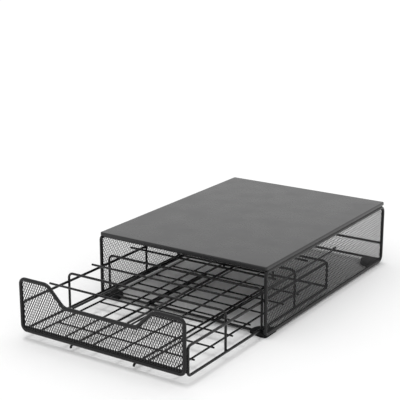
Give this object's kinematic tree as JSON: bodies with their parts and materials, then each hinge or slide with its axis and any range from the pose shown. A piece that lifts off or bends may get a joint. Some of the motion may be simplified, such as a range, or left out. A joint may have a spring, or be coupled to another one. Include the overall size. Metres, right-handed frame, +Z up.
{
  "type": "coffee pod drawer",
  "caption": "Low wire and mesh drawer unit that holds disc coffee pods on edge in a sliding wire basket, with a flat sheet top that carries a coffee machine.",
  "frame": {"origin": "on the table, at the middle of the whole product with the drawer standing open", "axes": "+X to the right of somebody facing the drawer, +Y to the rear, away from the drawer front, +Z up"},
  "size_m": [0.2748, 0.5382, 0.0985],
  "materials": {
    "plate": "satin black powder coat on sheet steel",
    "wire": "semi-gloss black powder coat on steel wire",
    "mesh": "semi-gloss black powder coat on expanded steel mesh",
    "foot": "matt black moulded rubber"
  },
  "bodies": {
    "housing": {"top_plate": "plate", "housing_frame_left": "wire", "housing_frame_right": "wire", "side_mesh_left": "mesh", "side_mesh_right": "mesh", "front_top_bar": "wire", "middle_top_bar_front": "wire", "middle_top_bar_rear": "wire", "rear_top_bar": "wire", "front_bottom_bar": "wire", "rear_bottom_bar": "wire", "rear_stop_bar": "wire", "guide_left": "wire", "guide_right": "wire", "foot_front_left": "foot", "foot_front_right": "foot", "foot_rear_left": "foot", "foot_rear_right": "foot"},
    "drawer": {"panel_frame": "wire", "panel_mesh": "mesh", "panel_cross_bar": "wire", "basket_side_left": "wire", "basket_side_right": "wire", "hoop_1": "wire", "hoop_2": "wire", "hoop_3": "wire", "rear_hoop": "wire", "basket_rear_bar": "wire", "divider_1": "wire", "divider_2": "wire", "divider_3": "wire", "divider_4": "wire", "column_rail_left": "wire", "column_rail_right": "wire", "pod_rail_1": "wire", "pod_rail_2": "wire", "pod_rail_3": "wire", "pod_rail_4": "wire", "pod_rail_5": "wire", "pod_rail_6": "wire", "floor_wire_1": "wire", "floor_wire_2": "wire", "floor_wire_3": "wire", "floor_wire_4": "wire", "floor_wire_5": "wire", "floor_wire_6": "wire", "floor_wire_7": "wire", "runner_left": "wire", "runner_right": "wire"}
  },
  "joints": [
    {"name": "drawer_slide", "type": "slide", "parent": "housing", "child": "drawer", "axis": [0, -1, 0], "range_m": [-0.17, 0.12]}
  ]
}
